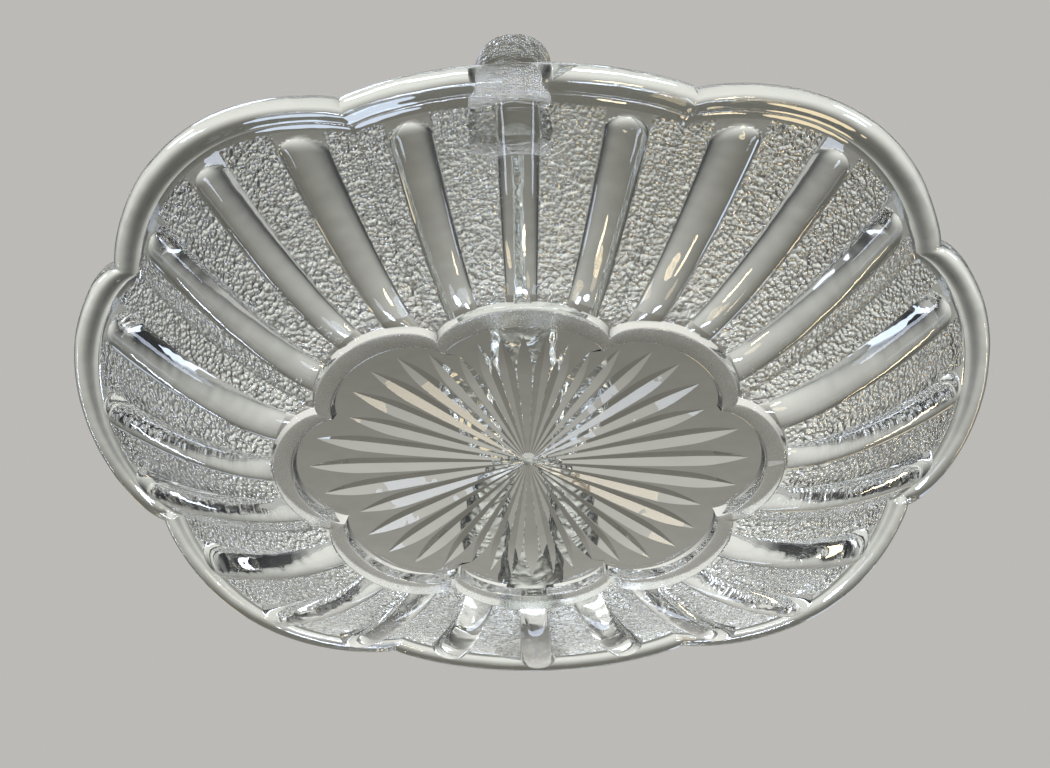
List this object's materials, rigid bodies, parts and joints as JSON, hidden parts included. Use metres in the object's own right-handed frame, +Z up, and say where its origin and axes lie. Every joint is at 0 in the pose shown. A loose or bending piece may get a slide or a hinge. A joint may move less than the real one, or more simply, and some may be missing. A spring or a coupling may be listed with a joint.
{
  "type": "pressed glass basket",
  "caption": "Clear pressed glass basket: lobed oval bowl with half-round ribs on a stippled ground, star-cut base, scalloped rim and an arched handle.",
  "frame": {"origin": "centre of the foot, on the surface that the basket stands on", "axes": "+X along the long axis of the oval, +Y along the short axis from one handle leg to the other, +Z up"},
  "size_m": [0.19, 0.1416, 0.11],
  "materials": {
    "clear_glass": "fire-polished clear pressed glass",
    "stippled_glass": "clear pressed glass, finely stippled between smooth ribs"
  },
  "bodies": {
    "root": {"foot_ring": "clear_glass", "star_base": "clear_glass", "ribbed_wall_right": "stippled_glass", "ribbed_wall_left": "stippled_glass", "scalloped_rim": "clear_glass", "arched_handle": "clear_glass"}
  },
  "joints": []
}
